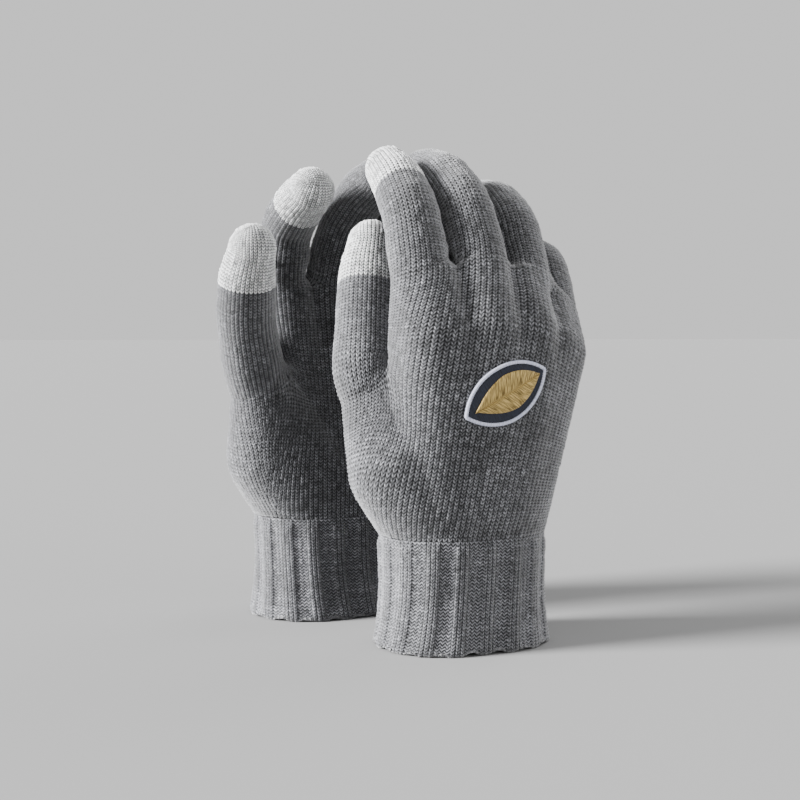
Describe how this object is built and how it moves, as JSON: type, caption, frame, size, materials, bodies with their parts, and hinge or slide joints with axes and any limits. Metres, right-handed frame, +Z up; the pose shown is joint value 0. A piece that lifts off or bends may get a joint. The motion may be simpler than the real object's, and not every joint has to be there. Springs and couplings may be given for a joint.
{
  "type": "pair of knitted touchscreen gloves",
  "caption": "Pair of heather-grey knitted gloves with ribbed cuffs, pale conductive thumb and index tips, and an embroidered leaf patch on the back of each hand.",
  "frame": {"origin": "centre of the pair's box, on the surface that both cuffs stand on", "axes": "+Z up from cuffs to fingertips; +Y from the right glove's back through both palms to the left glove's back; -X the thumb side of both gloves"},
  "size_m": [0.1481, 0.1482, 0.2131],
  "materials": {
    "yarn": "heather grey plain-knit wool blend",
    "rib_yarn": "heather grey ribbed knit",
    "conductive_yarn": "pale grey plain-knit conductive yarn",
    "elastic": "covered rubber thread",
    "label": "woven satin tape",
    "patch_border": "overlocked embroidery thread",
    "patch_ground": "dense satin-stitched embroidery thread",
    "patch_leaf": "satin-stitched embroidery thread"
  },
  "bodies": {
    "right_glove": {"right_cuff": "rib_yarn", "right_cuff_elastic": "elastic", "right_care_label": "label", "right_hand": "yarn", "right_patch_border": "patch_border", "right_patch_ground": "patch_ground", "right_patch_leaf": "patch_leaf", "right_index_root_fold": "yarn", "right_middle_root_fold": "yarn", "right_ring_root_fold": "yarn", "right_little_root_fold": "yarn", "right_thumb_root_fold": "yarn"},
    "right_index_lower": {"right_index_lower": "yarn", "right_index_middle_fold": "yarn"},
    "right_index_upper": {"right_index_upper": "yarn", "right_index_tip": "conductive_yarn"},
    "right_middle_lower": {"right_middle_lower": "yarn", "right_middle_middle_fold": "yarn"},
    "right_middle_upper": {"right_middle_upper": "yarn"},
    "right_ring_lower": {"right_ring_lower": "yarn", "right_ring_middle_fold": "yarn"},
    "right_ring_upper": {"right_ring_upper": "yarn"},
    "right_little_lower": {"right_little_lower": "yarn", "right_little_middle_fold": "yarn"},
    "right_little_upper": {"right_little_upper": "yarn"},
    "right_thumb_lower": {"right_thumb_lower": "yarn", "right_thumb_middle_fold": "yarn"},
    "right_thumb_upper": {"right_thumb_upper": "yarn", "right_thumb_tip": "conductive_yarn"},
    "left_glove": {"left_cuff": "rib_yarn", "left_cuff_elastic": "elastic", "left_care_label": "label", "left_hand": "yarn", "left_patch_border": "patch_border", "left_patch_ground": "patch_ground", "left_patch_leaf": "patch_leaf", "left_index_root_fold": "yarn", "left_middle_root_fold": "yarn", "left_ring_root_fold": "yarn", "left_little_root_fold": "yarn", "left_thumb_root_fold": "yarn"},
    "left_index_lower": {"left_index_lower": "yarn", "left_index_middle_fold": "yarn"},
    "left_index_upper": {"left_index_upper": "yarn", "left_index_tip": "conductive_yarn"},
    "left_middle_lower": {"left_middle_lower": "yarn", "left_middle_middle_fold": "yarn"},
    "left_middle_upper": {"left_middle_upper": "yarn"},
    "left_ring_lower": {"left_ring_lower": "yarn", "left_ring_middle_fold": "yarn"},
    "left_ring_upper": {"left_ring_upper": "yarn"},
    "left_little_lower": {"left_little_lower": "yarn", "left_little_middle_fold": "yarn"},
    "left_little_upper": {"left_little_upper": "yarn"},
    "left_thumb_lower": {"left_thumb_lower": "yarn", "left_thumb_middle_fold": "yarn"},
    "left_thumb_upper": {"left_thumb_upper": "yarn", "left_thumb_tip": "conductive_yarn"}
  },
  "joints": [
    {"name": "right_index_root_bend", "type": "hinge", "parent": "right_glove", "child": "right_index_lower", "pos_m": [-0.0086, -0.04645, 0.15972], "axis": [-0.9982, 0.0484, -0.0367], "range_deg": [-25, 4], "deforming": ["right_index_root_fold"]},
    {"name": "right_index_middle_bend", "type": "hinge", "parent": "right_index_lower", "child": "right_index_upper", "pos_m": [-0.00897, -0.04057, 0.17778], "axis": [-0.9982, 0.0484, -0.0367], "range_deg": [-26, 10], "deforming": ["right_index_middle_fold"]},
    {"name": "right_middle_root_bend", "type": "hinge", "parent": "right_glove", "child": "right_middle_lower", "pos_m": [0.01724, -0.04753, 0.16295], "axis": [-0.9966, 0.005, -0.0819], "range_deg": [-25, 20], "deforming": ["right_middle_root_fold"]},
    {"name": "right_middle_middle_bend", "type": "hinge", "parent": "right_middle_lower", "child": "right_middle_upper", "pos_m": [0.0157, -0.03929, 0.18221], "axis": [-0.9966, 0.005, -0.0819], "range_deg": [-30, 28], "deforming": ["right_middle_middle_fold"]},
    {"name": "right_ring_root_bend", "type": "hinge", "parent": "right_glove", "child": "right_ring_lower", "pos_m": [0.04142, -0.04197, 0.15715], "axis": [-0.9956, 0.0348, 0.0872], "range_deg": [-25, 2], "deforming": ["right_ring_root_fold"]},
    {"name": "right_ring_middle_bend", "type": "hinge", "parent": "right_ring_lower", "child": "right_ring_upper", "pos_m": [0.04336, -0.0309, 0.17489], "axis": [-0.9956, 0.0348, 0.0872], "range_deg": [-26, 3], "deforming": ["right_ring_middle_fold"]},
    {"name": "right_little_root_bend", "type": "hinge", "parent": "right_glove", "child": "right_little_lower", "pos_m": [0.05919, -0.03551, 0.14311], "axis": [-0.9813, 0.0538, 0.1849], "range_deg": [-12, 50], "deforming": ["right_little_root_fold"]},
    {"name": "right_little_middle_bend", "type": "hinge", "parent": "right_little_lower", "child": "right_little_upper", "pos_m": [0.06246, -0.02505, 0.15738], "axis": [-0.9813, 0.0538, 0.1849], "range_deg": [-30, 28], "deforming": ["right_little_middle_fold"]},
    {"name": "right_thumb_root_bend", "type": "hinge", "parent": "right_glove", "child": "right_thumb_lower", "pos_m": [-0.02638, -0.03175, 0.11127], "axis": [-0.264, 0.9301, -0.2556], "range_deg": [-34, 0], "deforming": ["right_thumb_root_fold"]},
    {"name": "right_thumb_middle_bend", "type": "hinge", "parent": "right_thumb_lower", "child": "right_thumb_upper", "pos_m": [-0.02206, -0.02355, 0.13663], "axis": [-0.264, 0.9301, -0.2556], "range_deg": [-10, 50], "deforming": ["right_thumb_middle_fold"]},
    {"name": "left_index_root_bend", "type": "hinge", "parent": "left_glove", "child": "left_index_lower", "pos_m": [-0.0361, 0.04645, 0.15972], "axis": [0.998, 0.0619, -0.0139], "range_deg": [-25, 36], "deforming": ["left_index_root_fold"]},
    {"name": "left_index_middle_bend", "type": "hinge", "parent": "left_index_lower", "child": "left_index_upper", "pos_m": [-0.0355, 0.04094, 0.17789], "axis": [0.998, 0.0619, -0.0139], "range_deg": [-44, 16], "deforming": ["left_index_middle_fold"]},
    {"name": "left_middle_root_bend", "type": "hinge", "parent": "left_glove", "child": "left_middle_lower", "pos_m": [-0.01026, 0.04753, 0.16295], "axis": [0.9905, 0.0763, -0.1145], "range_deg": [-25, 6], "deforming": ["left_middle_root_fold"]},
    {"name": "left_middle_middle_bend", "type": "hinge", "parent": "left_middle_lower", "child": "left_middle_upper", "pos_m": [-0.00739, 0.03847, 0.18168], "axis": [0.9905, 0.0763, -0.1145], "range_deg": [-30, 28], "deforming": ["left_middle_middle_fold"]},
    {"name": "left_ring_root_bend", "type": "hinge", "parent": "left_glove", "child": "left_ring_lower", "pos_m": [0.01392, 0.04197, 0.15715], "axis": [0.9893, 0.0591, -0.1331], "range_deg": [-25, 6], "deforming": ["left_ring_root_fold"]},
    {"name": "left_ring_middle_bend", "type": "hinge", "parent": "left_ring_lower", "child": "left_ring_upper", "pos_m": [0.01691, 0.03772, 0.17749], "axis": [0.9893, 0.0591, -0.1331], "range_deg": [-22, 14], "deforming": ["left_ring_middle_fold"]},
    {"name": "left_little_root_bend", "type": "hinge", "parent": "left_glove", "child": "left_little_lower", "pos_m": [0.03169, 0.03551, 0.14311], "axis": [0.9616, 0.1018, -0.2551], "range_deg": [-3, 50], "deforming": ["left_little_root_fold"]},
    {"name": "left_little_middle_bend", "type": "hinge", "parent": "left_little_lower", "child": "left_little_upper", "pos_m": [0.03659, 0.0314, 0.15993], "axis": [0.9616, 0.1018, -0.2551], "range_deg": [-22, 34], "deforming": ["left_little_middle_fold"]},
    {"name": "left_thumb_root_bend", "type": "hinge", "parent": "left_glove", "child": "left_thumb_lower", "pos_m": [-0.05388, 0.03175, 0.11127], "axis": [0.1906, 0.8923, 0.4092], "range_deg": [-25, 0], "deforming": ["left_thumb_root_fold"]},
    {"name": "left_thumb_middle_bend", "type": "hinge", "parent": "left_thumb_lower", "child": "left_thumb_upper", "pos_m": [-0.06054, 0.02203, 0.13556], "axis": [0.1906, 0.8923, 0.4092], "range_deg": [-10, 0], "deforming": ["left_thumb_middle_fold"]},
    {"name": "left_glove_moves_away", "type": "slide", "parent": "right_glove", "child": "left_glove", "axis": [0, 1, 0], "range_m": [0, 0.12]}
  ]
}
